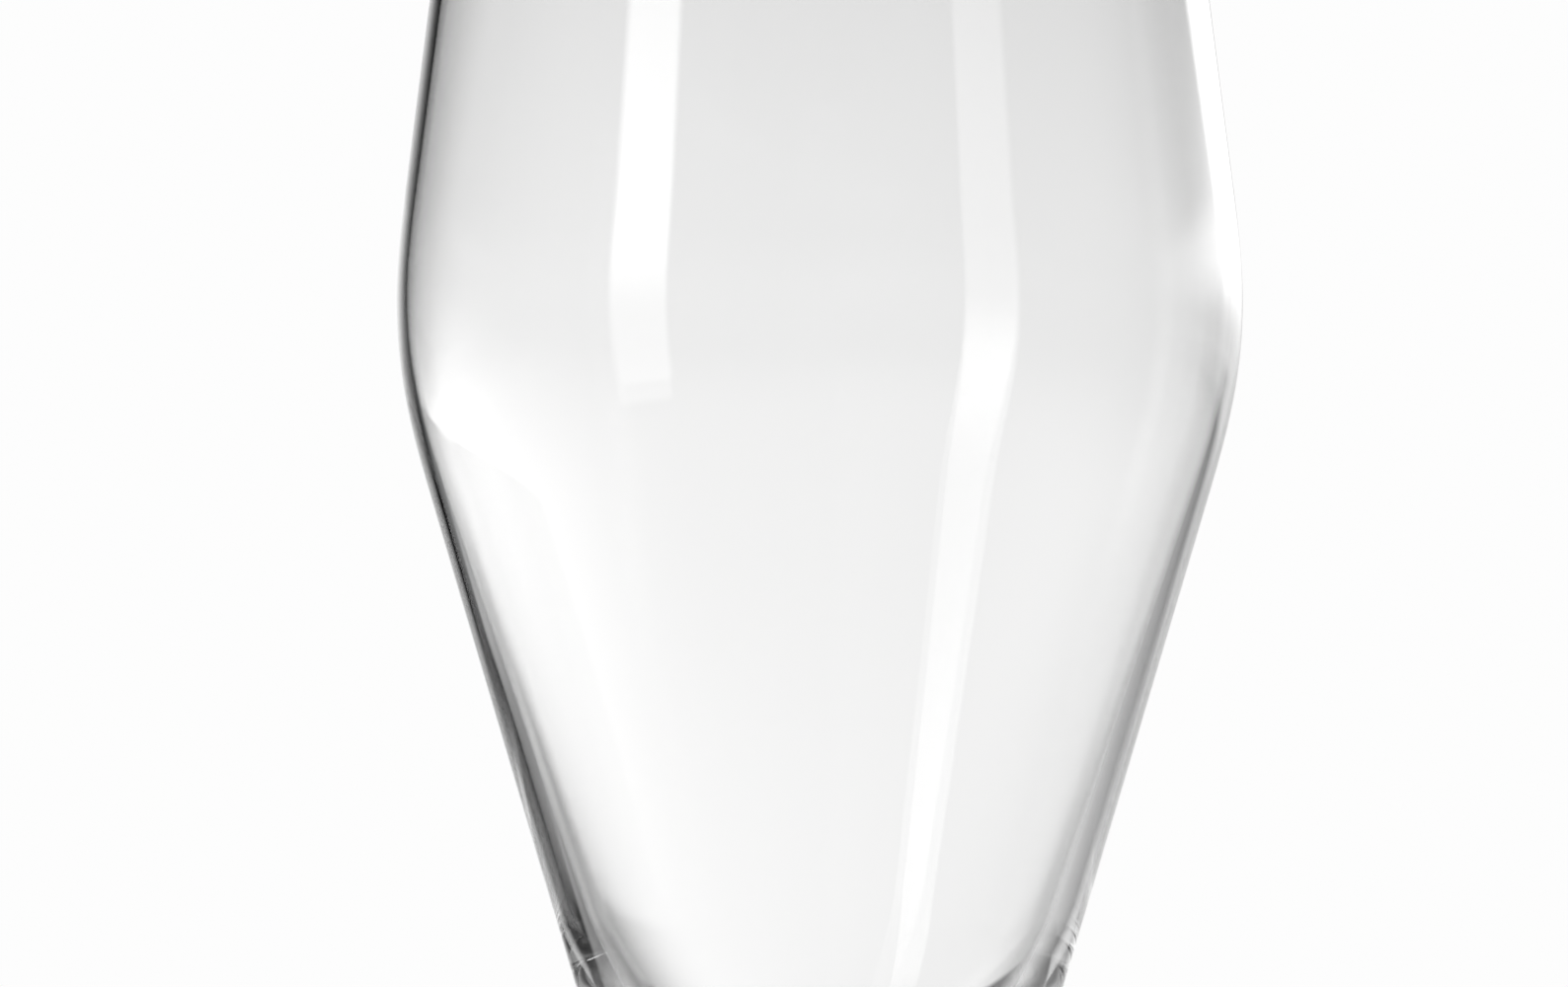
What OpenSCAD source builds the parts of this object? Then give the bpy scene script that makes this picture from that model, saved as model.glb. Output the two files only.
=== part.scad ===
// Stemmed sparkling-wine glass in clear glass.
// A blown bowl, a drawn stem and a pressed foot are welded hot, end to end.
// Each piece is a solid of revolution about Z. The glass stands on Z = 0, and sizes are in millimetres.

/* [Foot] */
// Diameter of the foot
foot_d = 72; // [60:0.5:84]
// Thickness of the foot at its rounded edge
foot_edge_t = 2; // [1.4:0.1:3]
// Slope of the foot's upper face, in degrees
foot_slope = 5; // [2:0.5:9]
// Radius of the fillet that carries the foot up into the stem
foot_fillet_r = 14; // [9:0.5:18]
// Width of the flat ring that the glass stands on
foot_ring_w = 7; // [4:0.5:12]
// Height of the hollow under the middle of the foot
foot_kick_h = 1.5; // [0.5:0.1:2.5]

/* [Stem] */
// Diameter of the straight stretch of the stem
stem_d = 7.6; // [6:0.1:10]
// Length of the straight stretch of the stem
stem_straight_l = 31; // [15:1:60]
// Radius of the long sweep from the stem out into the bowl
neck_sweep_r = 160; // [120:5:220]

/* [Welds] */
// How far the weld between foot and stem stands out beyond the stem, on each side
foot_weld_flare = 2.5; // [1:0.1:5]
// How far the weld between stem and bowl stands out beyond the stem, on each side
bowl_weld_flare = 1.4; // [0.6:0.1:2]

/* [Bowl] */
// Widest diameter of the bowl, at the belly
belly_d = 70; // [60:0.5:80]
// Height of the stretch round the belly in which the wall bends
belly_bend_h = 26; // [16:0.5:36]
// Lean of the lower wall from upright, in degrees
cone_angle = 16.5; // [13:0.1:22]
// Lean of the upper wall from upright, in degrees
lean_angle = 7.3; // [3:0.1:11]
// Height of the rim above the belly
rim_h = 56; // [35:1:80]

/* [Walls] */
// Thickness of the wall at the belly
belly_wall = 0.85; // [0.7:0.05:1.6]
// Thickness of the wall at the rim, which has a fully rounded lip
rim_wall = 1.1; // [0.7:0.05:1.8]
// How much further the inside of the lower wall leans than the outside, in degrees
wall_taper = 2; // [0.5:0.1:3.5]
// Radius of the bend where the inside of the lower wall starts to close towards the bottom
toe_bend_r = 60; // [40:1:90]
// Angle that this bend turns through, in degrees
toe_bend_angle = 24.5; // [5:0.5:35]
// Radius of the rounded bottom inside the bowl
cup_r = 9; // [5:0.5:13]

/* [Hidden] */

// Clear glass, with a trace of grey
glass_colour = [0.93, 0.95, 0.95, 0.35];
// Largest distance between a curve and the short straight lines that draw it
curve_tol = 0.004;
// Facets round the axis on screen
$fn = 160;

// Points from angle a0 to angle a1 on a circle of radius r about c, as fine as curve_tol asks
function arc(c, r, a0, a1) =
    let (n = ceil(abs(a1 - a0) / (2 * acos(1 - curve_tol / r))))
    [for (i = [0 : n]) let (a = a0 + (a1 - a0) * i / n) c + r * [cos(a), sin(a)]];

// Angle through which a sweep of radius r turns while it moves out by flare
function flare_turn(flare, r) = acos(1 - flare / r);

// A list of points in the opposite order
function reverse(points) = [for (i = [len(points) - 1 : -1 : 0]) points[i]];

// How far a bend of height 1 has moved out at a share of its height, while its slope eases from low to high
function eased(low, high, share) = low * share + (high - low) * (pow(share, 3) - pow(share, 4) / 2);

// Points of the bend at the belly, from radius r at its lower end
function bend(r, low, high) =
    [for (i = [0 : bend_steps]) let (share = i / bend_steps)
        [r, bend_z] + belly_bend_h * [eased(low, high, share), share]];

stem_r = stem_d / 2;

// Foot: full-round edge, sloping upper face, then the fillet up to the stem
foot_edge_r = foot_edge_t / 2;
foot_edge_c = [foot_d / 2 - foot_edge_r, foot_edge_r];
foot_edge_top = foot_edge_c + foot_edge_r * [sin(foot_slope), cos(foot_slope)];
foot_fillet_end_r = stem_r + foot_fillet_r * (1 - sin(foot_slope));
foot_fillet_end_z = foot_edge_top.y + (foot_edge_top.x - foot_fillet_end_r) * tan(foot_slope);
foot_fillet_c = [stem_r + foot_fillet_r, foot_fillet_end_z + foot_fillet_r * cos(foot_slope)];
foot_weld_turn = flare_turn(foot_weld_flare, foot_fillet_r);

// Hollow under the foot: a shallow dome inside the standing ring
kick_rim_r = foot_edge_c.x - foot_ring_w;
kick_sphere_r = (pow(kick_rim_r, 2) + pow(foot_kick_h, 2)) / (2 * foot_kick_h);
kick_c = [0, foot_kick_h - kick_sphere_r];
kick_half_angle = asin(kick_rim_r / kick_sphere_r);

// Neck: one long sweep, shared by the stem below the weld and the bowl above it
neck_c = [stem_r + neck_sweep_r, foot_fillet_c.y + stem_straight_l];
neck_top = neck_c + neck_sweep_r * [-cos(cone_angle), sin(cone_angle)];
bowl_weld_turn = flare_turn(bowl_weld_flare, neck_sweep_r);

// Belly: above the straight lower wall, the slope of the outside eases over to that of the upper wall
cone_slope = tan(cone_angle);
lean_slope = -tan(lean_angle);
// Share of the bend's height at which the wall is upright and the bowl is widest
belly_share = 0.5 - sin(asin(1 - 2 * cone_slope / (cone_slope - lean_slope)) / 3);
bend_r = belly_d / 2 - belly_bend_h * eased(cone_slope, lean_slope, belly_share);
bend_z = neck_top.y + (bend_r - neck_top.x) / cone_slope;
// The bend is tightest in the middle, where its slope changes 1.5 times as fast as on average
bend_tightest_r = belly_bend_h / (1.5 * (cone_slope - lean_slope));
bend_steps = ceil(belly_bend_h / sqrt(8 * curve_tol * bend_tightest_r));

// Rim, and radius at which the outside of the upper wall would reach its height
rim_z = bend_z + belly_share * belly_bend_h + rim_h;
upper_h = rim_z - bend_z - belly_bend_h;
rim_r = bend_r + belly_bend_h * eased(cone_slope, lean_slope, 1) + lean_slope * upper_h;

// Inside of the bend: its upper slope follows from the wall at the belly and the wall at the rim
cone_in_angle = cone_angle + wall_taper;
cone_in_slope = tan(cone_in_angle);
belly_in_r = belly_d / 2 - belly_wall;
belly_to_rim = rim_r - rim_wall - belly_in_r;
from_cone = belly_bend_h * (eased(1, 0, 1) - eased(1, 0, belly_share));
from_lean = belly_bend_h * (eased(0, 1, 1) - eased(0, 1, belly_share)) + upper_h;
lean_in_slope = (belly_to_rim - cone_in_slope * from_cone) / from_lean;
bend_in_r = belly_in_r - belly_bend_h * eased(cone_in_slope, lean_in_slope, belly_share);

// Lip: a circle that touches both sides of the upper wall and the rim's height
lean_in_angle = -atan(lean_in_slope);
lip_r = rim_wall / (1 / cos(lean_angle) + 1 / cos(lean_in_angle) + lean_slope - lean_in_slope);
lip_c = [rim_r - lip_r * (lean_slope + 1 / cos(lean_angle)), rim_z - lip_r];

// Inside of the lower wall: straight below the belly, then a bend that closes into the rounded bottom
toe_angle = cone_in_angle + toe_bend_angle;
toe_c_r = -(toe_bend_r - cup_r) * cos(toe_angle);
toe_c = [toe_c_r, bend_z + (toe_bend_r / cos(cone_in_angle) + toe_c_r - bend_in_r) / cone_in_slope];
cup_c = [0, toe_c.y - (toe_bend_r - cup_r) * sin(toe_angle)];

// Outlines run anticlockwise from the axis, in radius and height
foot_outline = concat(
    arc(kick_c, kick_sphere_r, 90, 90 - kick_half_angle),
    arc(foot_edge_c, foot_edge_r, -90, 90 - foot_slope),
    arc(foot_fillet_c, foot_fillet_r, 270 - foot_slope, 180 + foot_weld_turn),
    [[0, foot_fillet_c.y - foot_fillet_r * sin(foot_weld_turn)]]
);
stem_outline = concat(
    [[0, foot_fillet_c.y - foot_fillet_r * sin(foot_weld_turn)]],
    arc(foot_fillet_c, foot_fillet_r, 180 + foot_weld_turn, 180),
    arc(neck_c, neck_sweep_r, 180, 180 - bowl_weld_turn),
    [[0, neck_c.y + neck_sweep_r * sin(bowl_weld_turn)]]
);
bowl_outline = concat(
    [[0, neck_c.y + neck_sweep_r * sin(bowl_weld_turn)]],
    arc(neck_c, neck_sweep_r, 180 - bowl_weld_turn, 180 - cone_angle),
    bend(bend_r, cone_slope, lean_slope),
    arc(lip_c, lip_r, lean_angle, 180 + lean_in_angle),
    reverse(bend(bend_in_r, cone_in_slope, lean_in_slope)),
    arc(toe_c, toe_bend_r, -cone_in_angle, -toe_angle),
    arc(cup_c, cup_r, -toe_angle, -90)
);

// Turns an outline about the axis into a piece of glass
module turned_glass(outline) {
    color(glass_colour) rotate_extrude() polygon(outline);
}

// Blown bowl: solid neck below, thin wall above, fire-polished lip
module bowl() {
    turned_glass(bowl_outline);
}

// Drawn stem between the two welds
module stem() {
    turned_glass(stem_outline);
}

// Pressed foot with its standing ring and the hollow under it
module foot() {
    turned_glass(foot_outline);
}

bowl();
stem();
foot();
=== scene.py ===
# %% [markdown]
# A stemmed glass for sparkling wine, all in clear glass. The CAD frame holds every size and place. This
# lesson turns finer surfaces over the same outlines, makes them of glass that bends light as the real one
# does, and stands the glass in a small photo studio. Clear glass has hardly any look of its own: what the
# eye sees is the studio, mirrored on the glass and bent through it, so the studio gets as much care as
# the shape.

# %% Load the frame
import math

import bpy
import numpy as np
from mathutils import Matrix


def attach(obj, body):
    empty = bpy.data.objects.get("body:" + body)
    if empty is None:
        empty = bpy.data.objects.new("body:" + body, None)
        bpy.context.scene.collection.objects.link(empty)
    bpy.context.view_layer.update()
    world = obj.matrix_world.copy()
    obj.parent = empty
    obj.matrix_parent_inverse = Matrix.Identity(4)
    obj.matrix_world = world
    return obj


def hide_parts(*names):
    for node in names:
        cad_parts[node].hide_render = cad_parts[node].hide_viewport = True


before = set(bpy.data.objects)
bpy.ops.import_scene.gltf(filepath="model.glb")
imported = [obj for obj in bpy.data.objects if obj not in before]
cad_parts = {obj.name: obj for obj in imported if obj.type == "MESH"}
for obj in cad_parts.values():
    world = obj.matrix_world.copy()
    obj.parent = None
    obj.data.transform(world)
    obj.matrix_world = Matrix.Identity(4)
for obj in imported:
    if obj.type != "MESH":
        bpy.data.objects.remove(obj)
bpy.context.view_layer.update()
scene = bpy.context.scene
print("CAD nodes:", ", ".join(sorted(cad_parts)))

# %% [markdown]
# Every piece of the glass is round, so a piece is one outline, in radius and height, turned about the Z
# axis. The CAD meshes already hold the main sizes: the widest radius, the top of the rim, the heights of
# the two welds. Reading them there, instead of typing them again, keeps the fine surfaces on the CAD ones.

# %% Read the main sizes off the CAD
MM = 0.001
PIECE_NAMES = ("bowl", "stem", "foot")
POINT_DIGITS = 7  # decimals of a metre


def radius_and_height(node):
    """Each distinct vertex of a CAD node as (distance from the Z axis, height), in metres."""
    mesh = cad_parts[node].data
    points = np.empty(len(mesh.vertices) * 3)
    mesh.vertices.foreach_get("co", points)
    points = points.reshape(-1, 3)
    pairs = np.stack([np.hypot(points[:, 0], points[:, 1]), points[:, 2]], axis=1)
    return np.unique(pairs.round(POINT_DIGITS), axis=0)


cad_points = {name: radius_and_height(name) for name in PIECE_NAMES}
belly_radius = cad_points["bowl"][:, 0].max()
rim_height = cad_points["bowl"][:, 1].max()
bowl_weld_height = cad_points["stem"][:, 1].max()
foot_weld_height = cad_points["stem"][:, 1].min()
foot_radius = cad_points["foot"][:, 0].max()
off_axis = cad_points["stem"][:, 0] > MM
stem_radius = cad_points["stem"][off_axis, 0].min()
print(f"radii: belly {belly_radius / MM:.2f}, stem {stem_radius / MM:.2f}, foot {foot_radius / MM:.2f} mm")
print(f"rim at {rim_height / MM:.2f} mm")
print(f"welds at {foot_weld_height / MM:.2f} and {bowl_weld_height / MM:.2f} mm")

# %% [markdown]
# The bends, leans and walls are named here, because a mesh of facets does not say where a bend starts.
# They are the sizes that a glassmaker's drawing would give.

# %% Sizes that a mesh does not show
UPPER_LEAN = 7.3  # degrees from upright, inwards
LOWER_LEAN = 16.5  # degrees from upright, outwards
BEND_HEIGHT = 26 * MM
RIM_ABOVE_BELLY = 56 * MM
BELLY_WALL = 0.85 * MM
RIM_WALL = 1.1 * MM
WALL_TAPER = 2.0  # degrees between the inside and the outside of the lower wall
TOE_BEND = 60 * MM
TOE_TURN = 24.5  # degrees
CUP_RADIUS = 9 * MM
NECK_SWEEP = 160 * MM
BOWL_WELD_FLARE = 1.4 * MM
FOOT_WELD_FLARE = 2.5 * MM
FOOT_FILLET = 14 * MM
FOOT_SLOPE = 5.0  # degrees
FOOT_EDGE = 2 * MM
RING_WIDTH = 7 * MM
KICK_HEIGHT = 1.5 * MM

# %% [markdown]
# An outline of blown glass is made of arcs and of straight runs that leave them in a tangent. Two helpers
# draw it: one puts points on an arc, the other joins the stretches and fills the straight runs, so that
# the faces stay short and the shading stays smooth. A curve object with a Screw modifier would do too, but
# arrays give exact arcs and the same spacing on each run.

# %% Arcs and straight runs
FEWEST_STEPS = 4
SAME_PLACE = 1e-9  # metres between two points that count as one


def at_angle(degrees):
    """Unit vector at an angle: (cosine, sine)."""
    return np.stack([np.cos(np.radians(degrees)), np.sin(np.radians(degrees))], axis=-1)


def arc(centre, radius, start, end, pitch=0.4 * MM):
    """Points centre + radius * (cosine, sine) from one angle to another, no further apart than pitch."""
    steps = max(FEWEST_STEPS, math.ceil(math.radians(abs(end - start)) * radius / pitch))
    return np.asarray(centre) + radius * at_angle(np.linspace(start, end, steps + 1))


def joined(*stretches, pitch=2 * MM):
    """One outline through all stretches. A straight gap between two gets points before + share * gap,
    about every pitch, but a gap next to a lone point gets none."""
    filled = [stretches[0]]
    for before, after in zip(stretches, stretches[1:]):
        gap = after[0] - before[-1]
        if min(len(before), len(after)) > 1:
            share = np.linspace(0, 1, int(np.linalg.norm(gap) / pitch) + 2)[1:-1, None]
            filled.append(before[-1] + share * gap)
        filled.append(after)
    outline = np.concatenate(filled)
    moved = np.linalg.norm(np.diff(outline, axis=0), axis=1) > SAME_PLACE
    return outline[np.append(True, moved)]


# %% [markdown]
# The bowl is the blown piece, and its belly is where the wall turns from the lower lean to the upper one.
# Soft glass never turns from a straight line into an arc at one point. So the slope eases over, by the
# smooth step 3 s^2 - 2 s^3, where s is the share of the bend's height. Summed up, that slope gives the
# radius as a plain polynomial. A mirrored light then runs round the belly without a kink. The belly is
# where the slope is zero, and turning the smooth step round tells at which share that is.


# %% Bowl: belly
def slope(lean):
    """Change of radius with height of a wall that leans outwards by so many degrees."""
    return math.tan(math.radians(lean))


def eased(low, high, share):
    """Way out at a share s of a bend of height 1: low * s + (high - low) * (s^3 - s^4 / 2)."""
    return low * share + (high - low) * (share**3 - share**4 / 2)


outer_low, outer_high = slope(LOWER_LEAN), slope(-UPPER_LEAN)
upright = outer_low / (outer_low - outer_high)
belly_share = 0.5 - math.sin(math.asin(1 - 2 * upright) / 3)
belly_height = rim_height - RIM_ABOVE_BELLY
bend_start = belly_height - belly_share * BEND_HEIGHT
bend_radius = belly_radius - BEND_HEIGHT * eased(outer_low, outer_high, belly_share)


def bend(radius, low, high, steps=80):
    """Points (radius + bend height * eased, bend start + bend height * s) for s from 0 to 1."""
    share = np.linspace(0, 1, steps + 1)
    radii = radius + BEND_HEIGHT * eased(low, high, share)
    return np.stack([radii, bend_start + BEND_HEIGHT * share], axis=1)


outer_bend = bend(bend_radius, outer_low, outer_high)
print(f"belly at {belly_height / MM:.2f} mm, bend from {bend_start / MM:.2f} mm up")

# %% [markdown]
# The inside has the same bend, a wall's thickness further in. Its slope above the belly follows from the
# wall at the belly and the wall at the rim. A flame has rounded the cut lip, so the lip is one small
# circle that touches both sides of the wall and the height of the rim.

# %% Bowl: inside and lip
upper_run = rim_height - bend_start - BEND_HEIGHT
rim_radius = outer_bend[-1, 0] + outer_high * upper_run
inner_low = slope(LOWER_LEAN + WALL_TAPER)
inner_belly = belly_radius - BELLY_WALL
from_low = BEND_HEIGHT * (eased(1, 0, 1) - eased(1, 0, belly_share))
from_high = BEND_HEIGHT * (eased(0, 1, 1) - eased(0, 1, belly_share)) + upper_run
inner_high = (rim_radius - RIM_WALL - inner_belly - inner_low * from_low) / from_high
inner_radius = inner_belly - BEND_HEIGHT * eased(inner_low, inner_high, belly_share)
inner_bend = bend(inner_radius, inner_low, inner_high)
inner_lean = -math.degrees(math.atan(inner_high))
outer_stretch, inner_stretch = math.hypot(1, outer_high), math.hypot(1, inner_high)
lip_radius = RIM_WALL / (outer_stretch + inner_stretch + outer_high - inner_high)
lip_centre = np.array([rim_radius - lip_radius * (outer_high + outer_stretch), rim_height - lip_radius])
print(f"inside leans {inner_lean:.2f} degrees above the belly, lip {lip_radius / MM:.3f} mm in radius")

# %% [markdown]
# Below the belly the wall runs down as a cone and grows thicker, because glass sinks while it is soft.
# Inside, the cone turns in to a small round bottom; outside, it sweeps on into the stem without a break.
# That is why the bottom of the bowl is a lens, and why its edge shows dark lines in a photograph.

# %% Bowl: lower wall and bottom
inner_cone = LOWER_LEAN + WALL_TAPER
toe_angle = inner_cone + TOE_TURN
toe_across, toe_along = (TOE_BEND - CUP_RADIUS) * at_angle(toe_angle)
toe_drop = (toe_across + inner_radius - TOE_BEND * math.hypot(1, inner_low)) / inner_low
toe_centre = np.array([-toe_across, bend_start - toe_drop])
cup_centre = np.array([0, toe_centre[1] - toe_along])
neck_turn = math.degrees(math.acos(1 - BOWL_WELD_FLARE / NECK_SWEEP))
neck_rise = NECK_SWEEP * at_angle(neck_turn)[1]
neck_centre = np.array([stem_radius + NECK_SWEEP, bowl_weld_height - neck_rise])
bowl_outline = joined(
    np.array([[0, bowl_weld_height]]),
    arc(neck_centre, NECK_SWEEP, 180 - neck_turn, 180 - LOWER_LEAN, pitch=0.8 * MM),
    outer_bend,
    arc(lip_centre, lip_radius, UPPER_LEAN, 180 + inner_lean, pitch=0.06 * MM),
    inner_bend[::-1],
    arc(toe_centre, TOE_BEND, -inner_cone, -toe_angle, pitch=0.8 * MM),
    arc(cup_centre, CUP_RADIUS, -toe_angle, -90),
)
print(f"inside bottom at {bowl_outline[-1, 1] / MM:.2f} mm, {len(bowl_outline)} points on the bowl")

# %% [markdown]
# The stem is a drawn rod, straight over most of its length. The foot is pressed: a flat ring to stand on,
# a shallow hollow inside the ring so that the glass does not rock, a rounded edge, and a slope that rises
# into the stem in one fillet.

# %% Stem and foot outlines
fillet_turn = math.degrees(math.acos(1 - FOOT_WELD_FLARE / FOOT_FILLET))
fillet_rise = FOOT_FILLET * at_angle(fillet_turn)[1]
fillet_centre = np.array([stem_radius + FOOT_FILLET, foot_weld_height + fillet_rise])
stem_outline = joined(
    np.array([[0, foot_weld_height]]),
    arc(fillet_centre, FOOT_FILLET, 180 + fillet_turn, 180),
    arc(neck_centre, NECK_SWEEP, 180, 180 - neck_turn),
    np.array([[0, bowl_weld_height]]),
)
edge_radius = FOOT_EDGE / 2
edge_centre = np.array([foot_radius - edge_radius, edge_radius])
kick_rim = edge_centre[0] - RING_WIDTH
kick_sphere = (kick_rim**2 + KICK_HEIGHT**2) / (2 * KICK_HEIGHT)
kick_half = math.degrees(math.asin(kick_rim / kick_sphere))
foot_outline = joined(
    arc([0, KICK_HEIGHT - kick_sphere], kick_sphere, 90, 90 - kick_half),
    arc(edge_centre, edge_radius, -90, 90 - FOOT_SLOPE, pitch=0.1 * MM),
    arc(fillet_centre, FOOT_FILLET, 270 - FOOT_SLOPE, 180 + fillet_turn),
    np.array([[0, foot_weld_height]]),
)
outlines = {"bowl": bowl_outline, "stem": stem_outline, "foot": foot_outline}
for outline in outlines.values():
    outline[[0, -1], 0] = 0
print(f"{len(stem_outline)} points on the stem, {len(foot_outline)} on the foot")

# %% [markdown]
# A wrong bend would show as a gap between the new outline and the CAD. Each CAD point is set against every
# straight stretch of the outline, as whole arrays, and the largest gap is printed. It stays within the
# small error that the CAD's own facets have.


# %% Compare with the CAD
def largest_gap(points, outline):
    """Greatest distance of a point from an outline, whose nearest place is a clipped projection."""
    start, run = outline[:-1], np.diff(outline, axis=0)
    offset = points[:, None] - start
    share = np.clip((offset * run).sum(-1) / (run * run).sum(-1), 0, 1)
    return np.linalg.norm(offset - share[..., None] * run, axis=-1).min(axis=1).max()


for name, outline in outlines.items():
    print(f"{name}: largest gap to the CAD {largest_gap(cad_points[name], outline) / MM:.4f} mm")

# %% [markdown]
# An outline becomes a closed piece in three steps. The first one is the faces. Each point of the outline
# is turned into a ring, and quads join each ring to the next. Both ends of an outline lie on the axis, so
# they become poles, fanned with triangles.


# %% Faces between the rings
def ring_faces(rows, around):
    """Point (row, column) of the rings has number row * around + column, and the two poles come last."""
    here = np.arange(around)
    beside = np.roll(here, -1)
    row = np.arange(rows - 1)[:, None] * around
    walls = np.stack([row + here, row + beside, row + around + beside, row + around + here], axis=-1)
    first_pole, last_pole, last_row = rows * around, rows * around + 1, (rows - 1) * around
    first = np.stack([np.full(around, first_pole), beside, here], axis=-1)
    last = np.stack([np.full(around, last_pole), last_row + here, last_row + beside], axis=-1)
    return [*first.tolist(), *walls.reshape(-1, 4).tolist(), *last.tolist()]


# %% [markdown]
# The second step is the welds. Where an end is one, its flat face is marked with a second material: in the
# real glass the weld has melted into one body, and light passes it without a trace. The edge round that
# face is marked sharp, so that the wall's shading runs straight on into the next piece.


# %% Marks on the welds
def mark_welds(mesh, first_is_weld, last_is_weld, around):
    """A welded end's fan gets material 1 and a sharp ring round it. All other faces are shaded smooth."""
    welded = np.zeros(len(mesh.polygons), dtype=np.int32)
    welded[:around] = first_is_weld
    welded[-around:] = last_is_weld
    mesh.polygons.foreach_set("use_smooth", welded == 0)
    mesh.polygons.foreach_set("material_index", welded)
    ends = np.empty(len(mesh.edges) * 2, dtype=np.int32)
    mesh.edges.foreach_get("vertices", ends)
    ends = ends.reshape(-1, 2)
    first_pole = len(mesh.vertices) - 2
    first_ring = (ends < around).all(axis=1) & first_is_weld
    last_ring = ((ends >= first_pole - around) & (ends < first_pole)).all(axis=1) & last_is_weld
    mesh.edges.foreach_set("use_edge_sharp", first_ring | last_ring)


# %% [markdown]
# The third step puts the points in place. They are worked out as one array for the whole piece, and the
# object itself stays at the origin, as the CAD's own nodes do.


# %% Turn an outline into a piece
def turned(name, outline, weld_heights, around=256):
    """Point (row, turn) is (radius * cos turn, radius * sin turn, height), with a pole at each end."""
    turn = np.linspace(0, 2 * np.pi, around, endpoint=False)
    radius, height = outline[1:-1, :1], outline[1:-1, 1:]
    rings = np.stack(np.broadcast_arrays(radius * np.cos(turn), radius * np.sin(turn), height), axis=-1)
    poles = np.array([[0, 0, outline[0, 1]], [0, 0, outline[-1, 1]]])
    points = np.concatenate([rings.reshape(-1, 3), poles])
    mesh = bpy.data.meshes.new(name)
    mesh.from_pydata(points, [], ring_faces(len(outline) - 2, around))
    mark_welds(mesh, outline[0, 1] in weld_heights, outline[-1, 1] in weld_heights, around)
    mesh.update()
    piece = bpy.data.objects.new(name, mesh)
    scene.collection.objects.link(piece)
    return piece


# %% [markdown]
# The three pieces take the places of the three CAD solids. They ride on the one body of the part, since
# nothing on a wine glass moves, and each names the material slot of its own glass.

# %% Bowl, stem and foot
welds = (foot_weld_height, bowl_weld_height)
pieces = {}
for name, outline in outlines.items():
    piece = turned(f"{name}_glass", outline, welds)
    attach(piece, "root")
    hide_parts(name)
    pieces[name] = piece
    triangles = sum(len(face.vertices) - 2 for face in piece.data.polygons)
    print(f"{name}: {triangles} triangles")

# %% [markdown]
# Shaders and studio light are formulas, and a formula reads best as one. The class below wraps an output
# of a node. Arithmetic on it adds Math nodes, and one method adds any other node, so the node tree is
# written like ordinary Python.


# %% Node arithmetic
class Value:
    """One output of a node tree. Arithmetic on it adds Math nodes to the same tree."""

    def __init__(self, tree, socket=None):
        self.tree = tree
        self.socket = socket

    def node(self, kind, settings=None, output=0, **inputs):
        """Adds a node, sets it up, sets or links its inputs (i2 is number 2) and returns an output."""
        made = self.tree.nodes.new(kind)
        for key, setting in (settings or {}).items():
            setattr(made, key, setting)
        for key, given in inputs.items():
            place = int(key[1:]) if key[0] == "i" and key[1:].isdigit() else key.replace("_", " ")
            if isinstance(given, Value):
                self.tree.links.new(given.socket, made.inputs[place])
            else:
                made.inputs[place].default_value = given
        return Value(self.tree, made.outputs[output] if made.outputs else None)

    def feed(self, node, place):
        """Links this value to an input of a node that is already there."""
        self.tree.links.new(self.socket, node.inputs[place])

    def math(self, operation, first, second=0.0):
        """A Math node on one or two values."""
        return self.node("ShaderNodeMath", {"operation": operation}, i0=first, i1=second)

    def __add__(self, other):
        return self.math("ADD", self, other)

    __radd__ = __add__

    def __sub__(self, other):
        return self.math("SUBTRACT", self, other)

    def __rsub__(self, other):
        return self.math("SUBTRACT", other, self)

    def __mul__(self, other):
        return self.math("MULTIPLY", self, other)

    __rmul__ = __mul__

    def over(self, other):
        """The greater of this and another value."""
        return self.math("MAXIMUM", self, other)

    def step(self, none, full):
        """0 up to none and 1 from full on, smooth between; full may be the lesser of the two."""
        settings = {"interpolation_type": "SMOOTHSTEP"}
        return self.node("ShaderNodeMapRange", settings, i0=self, i1=none, i2=full, i3=0.0, i4=1.0)


# %% [markdown]
# Clear glass is a shader with full transmission, no roughness and the index of soda-lime or crystal glass.
# Two things keep it from looking drawn by a machine. Cords are waves of a few hundredths of a millimetre
# that the blowing or drawing leaves, long along the piece: they make mirrored edges swim a little. Seeds
# are bubbles the size of a dust grain. Both come from noise in Object coordinates, so they are the same in
# every view.

# %% Clear glass
GLASS_INDEX = 1.51
GLASS_TINT = (0.997, 0.997, 0.996, 1)
SEED_TINT = (0.55, 0.56, 0.56, 1)
SEED_SPACING = 9 * MM
SEED_RADIUS = 0.09 * MM


def clear_glass(name, cord_width, cord_length, cord_height):
    """Glass whose normal follows stretched noise (the cords), darker near scattered points (the seeds)."""
    made = bpy.data.materials.new(name)
    made.use_nodes = True
    shader = made.node_tree.nodes["Principled BSDF"]
    shader.inputs["Roughness"].default_value = 0.0
    shader.inputs["IOR"].default_value = GLASS_INDEX
    shader.inputs["Transmission Weight"].default_value = 1.0
    start = Value(made.node_tree)
    place = start.node("ShaderNodeTexCoord", output="Object")
    stretch = (1 / cord_width, 1 / cord_width, 1 / cord_length)
    cords = start.node("ShaderNodeMapping", Vector=place, Scale=stretch)
    wave = start.node("ShaderNodeTexNoise", Vector=cords, Scale=1.0, Detail=1.0)
    start.node("ShaderNodeBump", Height=wave, Strength=1.0, Distance=cord_height).feed(shader, "Normal")
    nearest = start.node("ShaderNodeTexVoronoi", output="Distance", Vector=place, Scale=1 / SEED_SPACING)
    seed = nearest.step(SEED_RADIUS / SEED_SPACING, 0.0)
    # A Mix node's colours are its inputs 6 and 7 and its output 2
    colours = {"data_type": "RGBA"}
    tint = start.node("ShaderNodeMix", colours, output=2, i0=seed, i6=GLASS_TINT, i7=SEED_TINT)
    tint.feed(shader, "Base Color")
    return made


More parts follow.
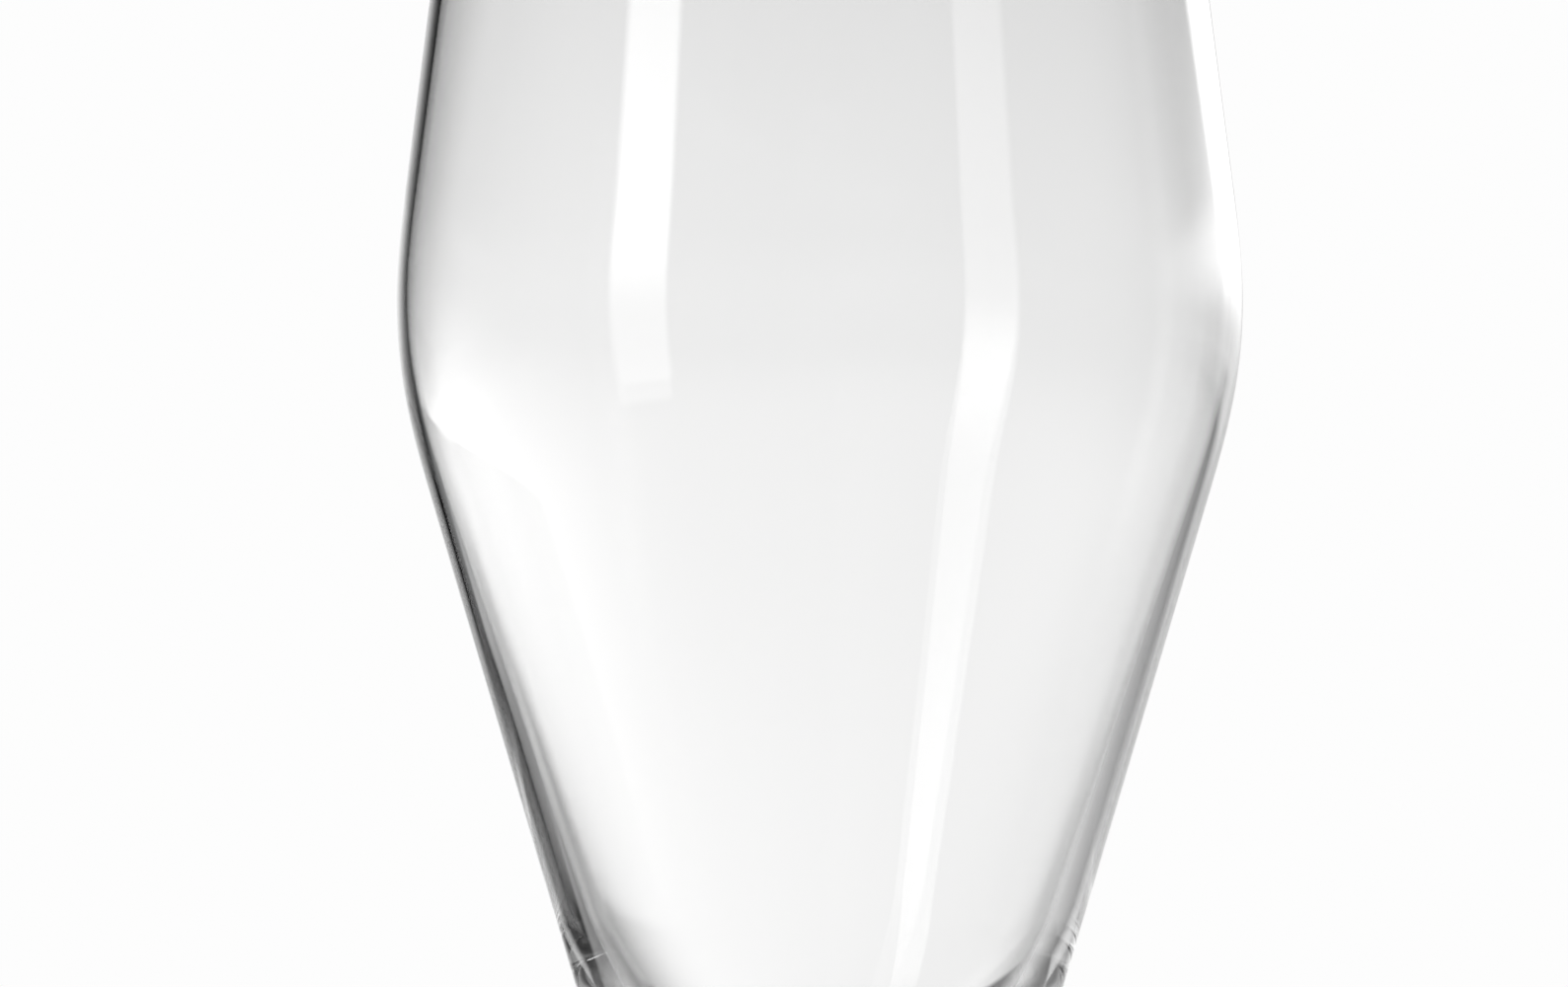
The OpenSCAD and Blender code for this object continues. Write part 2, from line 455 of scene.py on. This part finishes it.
glasses = {
    "bowl": clear_glass("bowl_glass", cord_width=14 * MM, cord_length=60 * MM, cord_height=0.02 * MM),
    "stem": clear_glass("stem_glass", cord_width=3 * MM, cord_length=50 * MM, cord_height=0.02 * MM),
    "foot": clear_glass("foot_glass", cord_width=12 * MM, cord_length=12 * MM, cord_height=0.03 * MM),
}
print("glasses:", ", ".join(made.name for made in glasses.values()))

# %% [markdown]
# The weld faces lie inside the glass and must not be seen, so their material is wholly transparent.
# Without it, light would bend twice at a place where the real glass has no surface at all.

# %% Welds
weld = bpy.data.materials.new("weld")
weld.use_nodes = True
weld.node_tree.nodes["Principled BSDF"].inputs["Alpha"].default_value = 0.0
for name, piece in pieces.items():
    piece.data.materials.append(glasses[name])
    piece.data.materials.append(weld)

# %% [markdown]
# The studio is far away compared with the size of the glass, so it can all be painted on the world: each
# light is a patch of sky with a bearing and a height, both in degrees. The bearing is 0 straight behind
# the glass and grows to the right, seen from the camera. The height is 0 at eye level. A pair of bearings
# or heights below says where a light is still nothing and where it has come up in full.

# %% Bearings and heights in the studio
world = bpy.data.worlds.new("studio")
world.use_nodes = True
world.node_tree.nodes.clear()
studio = Value(world.node_tree)
direction = studio.node("ShaderNodeTexCoord", output="Generated")


def along(axis):
    """How far the direction of sight points along an axis: their dot product."""
    settings = {"operation": "DOT_PRODUCT"}
    return studio.node("ShaderNodeVectorMath", settings, output="Value", i0=direction, i1=axis)


bearing = studio.math("ARCTAN2", along((1, 0, 0)), along((0, 1, 0))) * math.degrees(1)
height = studio.math("ARCSINE", along((0, 0, 1))) * math.degrees(1)
aside = studio.math("ABSOLUTE", bearing)

# %% [markdown]
# Behind the glass hangs a white backdrop, not much wider than the glass, with the dark room on both sides
# of it. This is the classic way to photograph glass on white: the thin edges bend the view so far that
# they pick up the dark room, and the glass draws its own outline. The backdrop is a little brighter on the
# left and low down. It fades at both sides and towards the top, and lower down the sides fade over a
# shorter way.

# %% Backdrop
BACKDROP_LEVEL = 0.885
BACKDROP_TILT = 0.15
BACKDROP_TILT_BEARINGS = (8, -8)
BACKDROP_LIFT = 0.027
BACKDROP_LIFT_HEIGHTS = (-2, -4)
BACKDROP_LEFT = (-24.2, -3.8)
BACKDROP_RIGHT = (37.3, 8.5)
BACKDROP_TIGHTENS = (8, -9.9)  # degrees that the left and the right end move in
BACKDROP_TIGHTENS_HEIGHTS = (-6.3, -9.9)
BACKDROP_TOP = (10.9, 0.4)
BACKDROP_BOTTOM = (-21.6, -19.6)
tighter = height.step(*BACKDROP_TIGHTENS_HEIGHTS)
left_end = BACKDROP_LEFT[0] + BACKDROP_TIGHTENS[0] * tighter
right_end = BACKDROP_RIGHT[0] + BACKDROP_TIGHTENS[1] * tighter
backdrop = bearing.step(left_end, BACKDROP_LEFT[1]) * bearing.step(right_end, BACKDROP_RIGHT[1])
backdrop = backdrop * height.step(*BACKDROP_TOP) * height.step(*BACKDROP_BOTTOM)
tilt = BACKDROP_TILT * bearing.step(*BACKDROP_TILT_BEARINGS)
lift = BACKDROP_LIFT * height.step(*BACKDROP_LIFT_HEIGHTS)
backdrop = backdrop * (BACKDROP_LEVEL + tilt + lift)

# %% [markdown]
# The room around is dim, and a little less so behind the camera. The table is pale and reflects light up
# from both sides, and a soft light hangs high up everywhere but over the backdrop. These three fill the
# reflections that would otherwise be black.

# %% Room, table and light from above
ROOM_LEVEL = 0.13
ROOM_BEARINGS = (20, 160)
TABLE_LEVEL = 0.92
TABLE_HEIGHTS = (20, -42)
TABLE_BEARINGS = (42, 63)
TABLE_DROP = 0.74
TABLE_DROP_BEARINGS = (80, 146)
ABOVE_LEVEL = 0.63
ABOVE_HEIGHTS = (5, 29)
ABOVE_BEARINGS = (21, 72)
room = ROOM_LEVEL * aside.step(*ROOM_BEARINGS)
table = TABLE_LEVEL * height.step(*TABLE_HEIGHTS) * aside.step(*TABLE_BEARINGS)
table = table * (1 - TABLE_DROP * aside.step(*TABLE_DROP_BEARINGS))
above = ABOVE_LEVEL * height.step(*ABOVE_HEIGHTS) * aside.step(*ABOVE_BEARINGS)

# %% [markdown]
# On the left stands a big soft light, brightest low down. Its mirror image is the white area on the left
# of the bowl. The edge towards the backdrop is upright at eye level and leans out to the left below it,
# and a brighter border runs along it. Low down the edge is crisp, and the thick wall shows it as a fine
# bright line. Near eye level it stands a little further out and is softer, and midway down its slant it
# is softer too, because the belly would mirror a crisp edge as a crease.

# %% Left light
GLOW_LEVEL = 1.8
GLOW_FAR = (-120, -31)
GLOW_TOP = (-3.5, -15)
GLOW_EDGE = -26.8
GLOW_LEAN = 2.76  # degrees of bearing for each degree of height
GLOW_LEANS_BELOW = -7.7
GLOW_EDGE_WIDTH = 1.2
EYE_LEVEL_HEIGHTS = (-10, -7.5)
EYE_LEVEL_SHIFT = 2.5
EYE_LEVEL_WIDENS = 7
MIDWAY_BEARINGS = (-34, -48)
MIDWAY_HEIGHTS = (-15.5, -12)
MIDWAY_WIDENS = 16
BORDER_LEVEL = 0.7
BORDER_REACH = (-38, -25)
BORDER_FAR = (-56, -46)
BORDER_TOP = (2, -10)
eye_level = height.step(*EYE_LEVEL_HEIGHTS)
midway = bearing.step(*MIDWAY_BEARINGS) * height.step(*MIDWAY_HEIGHTS)
slant = bearing + GLOW_LEAN * (GLOW_LEANS_BELOW - height).over(0.0) + EYE_LEVEL_SHIFT * eye_level
half_width = (GLOW_EDGE_WIDTH + EYE_LEVEL_WIDENS * eye_level + MIDWAY_WIDENS * midway) * 0.5
inside = slant.step(GLOW_EDGE + half_width, GLOW_EDGE - half_width)
glow = GLOW_LEVEL * bearing.step(*GLOW_FAR) * height.step(*GLOW_TOP)
border = BORDER_LEVEL * slant.step(*BORDER_REACH) * bearing.step(*BORDER_FAR) * height.step(*BORDER_TOP)
left_light = inside * (glow + border)

# %% [markdown]
# On the right a white panel stands close to the backdrop, brightest in a band just above eye level. It
# gives the softer reflection along the right edge. Below eye level, the foot of the panel is dim next to
# the backdrop and grows brighter further out.

# %% Right panel
PANEL_LEVEL = 0.71
PANEL_NEAR = (8.1, 11.1)
PANEL_FAR = (86, 32)
PANEL_BOTTOM = (-6.4, -4)
BAND_LEVEL = 1.1
BAND_RISES = (-2.4, 4.3)
BAND_FALLS = (8.5, 5)
PANEL_FOOT_LEVEL = 0.88
PANEL_FOOT_NEAR = (11.6, 53.6)
PANEL_FOOT_HEIGHTS = (-1.5, -10.2)
band = BAND_LEVEL * height.step(*BAND_RISES) * height.step(*BAND_FALLS)
panel = (PANEL_LEVEL + band) * bearing.step(*PANEL_NEAR) * height.step(*PANEL_BOTTOM)
panel_foot = PANEL_FOOT_LEVEL * bearing.step(*PANEL_FOOT_NEAR) * height.step(*PANEL_FOOT_HEIGHTS)
panel = (panel + panel_foot) * bearing.step(*PANEL_FAR)

# %% [markdown]
# A tall strip light with crisp sides stands to the left of the camera. The outside of the bowl mirrors it
# as the bright bar on the left, and the inside of the far wall mirrors it once more, upside down and
# fainter, as the bar on the right. It ends 20 degrees below eye level, which is why the left bar stops
# under the belly, and it is brightest some way above eye level.

# %% Strip light
STRIP_LEVEL = 1.3
STRIP_LEFT = (-138.5, -137)
STRIP_RIGHT = (-120, -122)
STRIP_BOTTOM = (-21, -19)
STRIP_BOOST = 1.5
STRIP_BOOST_RISES = (-4, 13)
STRIP_BOOST_FALLS = (38, 20)
strip = STRIP_LEVEL + STRIP_BOOST * height.step(*STRIP_BOOST_RISES) * height.step(*STRIP_BOOST_FALLS)
strip = strip * bearing.step(*STRIP_LEFT) * bearing.step(*STRIP_RIGHT) * height.step(*STRIP_BOTTOM)

# %% [markdown]
# Where two lights meet, the brighter one hides the other, so the studio shows the greatest of them. Only
# the table adds its light to that of the left light and of the panel. A trace of light is left in the
# darkest places.

# %% All lights
DARK_LEVEL = 0.01
lights = backdrop.over(left_light + table).over(panel + table)
lights = lights.over(above).over(room).over(strip) + DARK_LEVEL

# %% [markdown]
# Seen from another side, the glass needs a white backdrop behind it from there too, or it would look
# black. Light that has come straight through the glass gets one every 45 degrees, the same on the left and
# on the right. The view from the photograph's side hardly meets them. Solid glass is a strong lens: the
# neck bends the view upwards and to both sides. A ray through it meets only two surfaces, one through the
# hollow bowl meets four, so the count of surfaces tells them apart, and solid parts get taller and wider
# backdrops. Each one is given as its bearing, its lower end and its upper end.

# %% Backdrops for the other views
OTHER_BACKDROP_LEVEL = 0.95
OTHER_BACKDROP_WIDTH = (22, 9)
OTHER_BACKDROP_SOFT = 3
OTHER_BACKDROPS = ((45, -32, -22), (90, -12, 6), (135, -24, 3), (180, -24, 6))
SOLID_BACKDROPS = ((0, -12, 24), (45, -35, -4), (90, -12, 24), (135, -24, 16), (180, -24, 24))
SOLID_BACKDROP_WIDTH = (24, 12)
SOLID_SURFACES = (3, 2)


def path(output):
    """What the renderer says about the ray that asks."""
    return studio.node("ShaderNodeLightPath", output=output)


def white_patch(middle, bottom, top, width):
    """1 on a patch about a bearing on either side, between two heights, with soft edges."""
    off_middle = studio.math("ABSOLUTE", aside - middle)
    patch = off_middle.step(*width) * height.step(bottom - OTHER_BACKDROP_SOFT, bottom)
    return patch * height.step(top + OTHER_BACKDROP_SOFT, top)


straight = path("Glossy Depth").step(1, 0) * OTHER_BACKDROP_LEVEL
solid = straight * path("Transmission Depth").step(*SOLID_SURFACES)
through = lights
for middle, bottom, top in OTHER_BACKDROPS:
    through = through.over(straight * white_patch(middle, bottom, top, OTHER_BACKDROP_WIDTH))
for middle, bottom, top in SOLID_BACKDROPS:
    through = through.over(solid * white_patch(middle, bottom, top, SOLID_BACKDROP_WIDTH))

# %% [markdown]
# Who is asking decides what the world shows. The camera sees plain white around the glass. Rays that the
# glass mirrors or lets through see the studio. The floor gathers its light from an even soft sky, a little
# stronger from above, and it sees the same sky through the glass, so no lamp draws bright spots on it.

# %% Put the world together
WHITE = 0.982
FLOOR_LIGHT = 0.75
FLOOR_LIGHT_ABOVE = 0.5
FLOOR_LIGHT_HEIGHTS = (10, 60)
camera_ray = path("Is Camera Ray")
glossy_ray = path("Is Glossy Ray")
transmission_ray = path("Is Transmission Ray")
from_floor = path("Diffuse Depth").step(0, 1)
soft_light = FLOOR_LIGHT + FLOOR_LIGHT_ABOVE * height.step(*FLOOR_LIGHT_HEIGHTS)
strength = glossy_ray * lights + (1 - glossy_ray) * soft_light
strength = transmission_ray * through + (1 - transmission_ray) * strength
strength = from_floor * soft_light + (1 - from_floor) * strength
strength = camera_ray * WHITE + (1 - camera_ray) * strength
background = studio.node("ShaderNodeBackground", Color=(1, 1, 1, 1), Strength=strength)
studio.node("ShaderNodeOutputWorld", Surface=background)
scene.world = world
print(f"studio of {len(world.node_tree.nodes)} nodes")

# %% [markdown]
# The floor is a pale disc just under the foot. It fades out towards its rim, so that it keeps the soft
# shadow of the glass and runs into the white around it without an edge.

# %% Floor
FLOOR_RADIUS = 0.3
FLOOR_SIDES = 128
FLOOR_DROP = 0.2 * MM
FLOOR_TONE = (0.86, 0.86, 0.86, 1)
FLOOR_ROUGHNESS = 0.9
FLOOR_FADE = (0.95 * FLOOR_RADIUS, 0.35 * FLOOR_RADIUS)
bpy.ops.mesh.primitive_circle_add(
    vertices=FLOOR_SIDES,
    radius=FLOOR_RADIUS,
    fill_type="NGON",
    location=(0, 0, -FLOOR_DROP),
)
floor = bpy.context.object
floor.name = "floor"
floor.visible_glossy = False
pale = bpy.data.materials.new("pale_floor")
pale.use_nodes = True
floor_shader = pale.node_tree.nodes["Principled BSDF"]
floor_shader.inputs["Base Color"].default_value = FLOOR_TONE
floor_shader.inputs["Roughness"].default_value = FLOOR_ROUGHNESS
floor_shader.inputs["Specular IOR Level"].default_value = 0.0
spot = Value(pale.node_tree)
from_middle = spot.node(
    "ShaderNodeVectorMath",
    {"operation": "LENGTH"},
    output="Value",
    i0=spot.node("ShaderNodeTexCoord", output="Object"),
)
from_middle.step(*FLOOR_FADE).feed(floor_shader, "Alpha")
floor.data.materials.append(pale)
print(f"floor {2 * FLOOR_RADIUS} m wide")

# %% [markdown]
# The photograph is a close view of the bowl, level with it. Its scale comes from the widest radius of the
# bowl, which spans a known number of pixels, and the aim from the pixel where the axis meets the belly.
# The camera stays level and is moved sideways and down instead of being turned, so upright lines stay
# upright.

# %% Camera
PHOTO_WIDTH, PHOTO_HEIGHT = 1588, 1000
AXIS_COLUMN, BELLY_ROW = 830, 306
BELLY_PIXELS = 428.5
DISTANCE = 1.0
pixel = belly_radius / BELLY_PIXELS
camera = bpy.data.objects.new("camera", bpy.data.cameras.new("camera"))
scene.collection.objects.link(camera)
camera.location = (
    (PHOTO_WIDTH / 2 - AXIS_COLUMN) * pixel,
    -DISTANCE,
    belly_height - (PHOTO_HEIGHT / 2 - BELLY_ROW) * pixel,
)
camera.rotation_euler = (math.radians(90), 0, 0)
camera.data.lens = camera.data.sensor_width * DISTANCE / (PHOTO_WIDTH * pixel)
scene.camera = camera
scene.view_settings.view_transform = "Standard"
print(f"lens {camera.data.lens:.1f} mm at {DISTANCE} m, {pixel / MM:.4f} mm to a pixel of the photograph")

# %% [markdown]
# A ray can run along inside the thick wall or the solid stem and be mirrored many times before it gets
# out. With Blender's usual limits it would be dropped on the way and leave black wedges, so every kind of
# bounce in the glass gets a high limit. The transparent ones are for the welds. By default Cycles also
# blurs what is mirrored after a soft bounce, to keep the noise down. That turned the foot grey, so it is
# switched off.

# %% Bounces
GLASS_BOUNCES = 64
scene.cycles.max_bounces = GLASS_BOUNCES
scene.cycles.transmission_bounces = GLASS_BOUNCES
scene.cycles.glossy_bounces = GLASS_BOUNCES
scene.cycles.transparent_max_bounces = GLASS_BOUNCES
scene.cycles.blur_glossy = 0.0
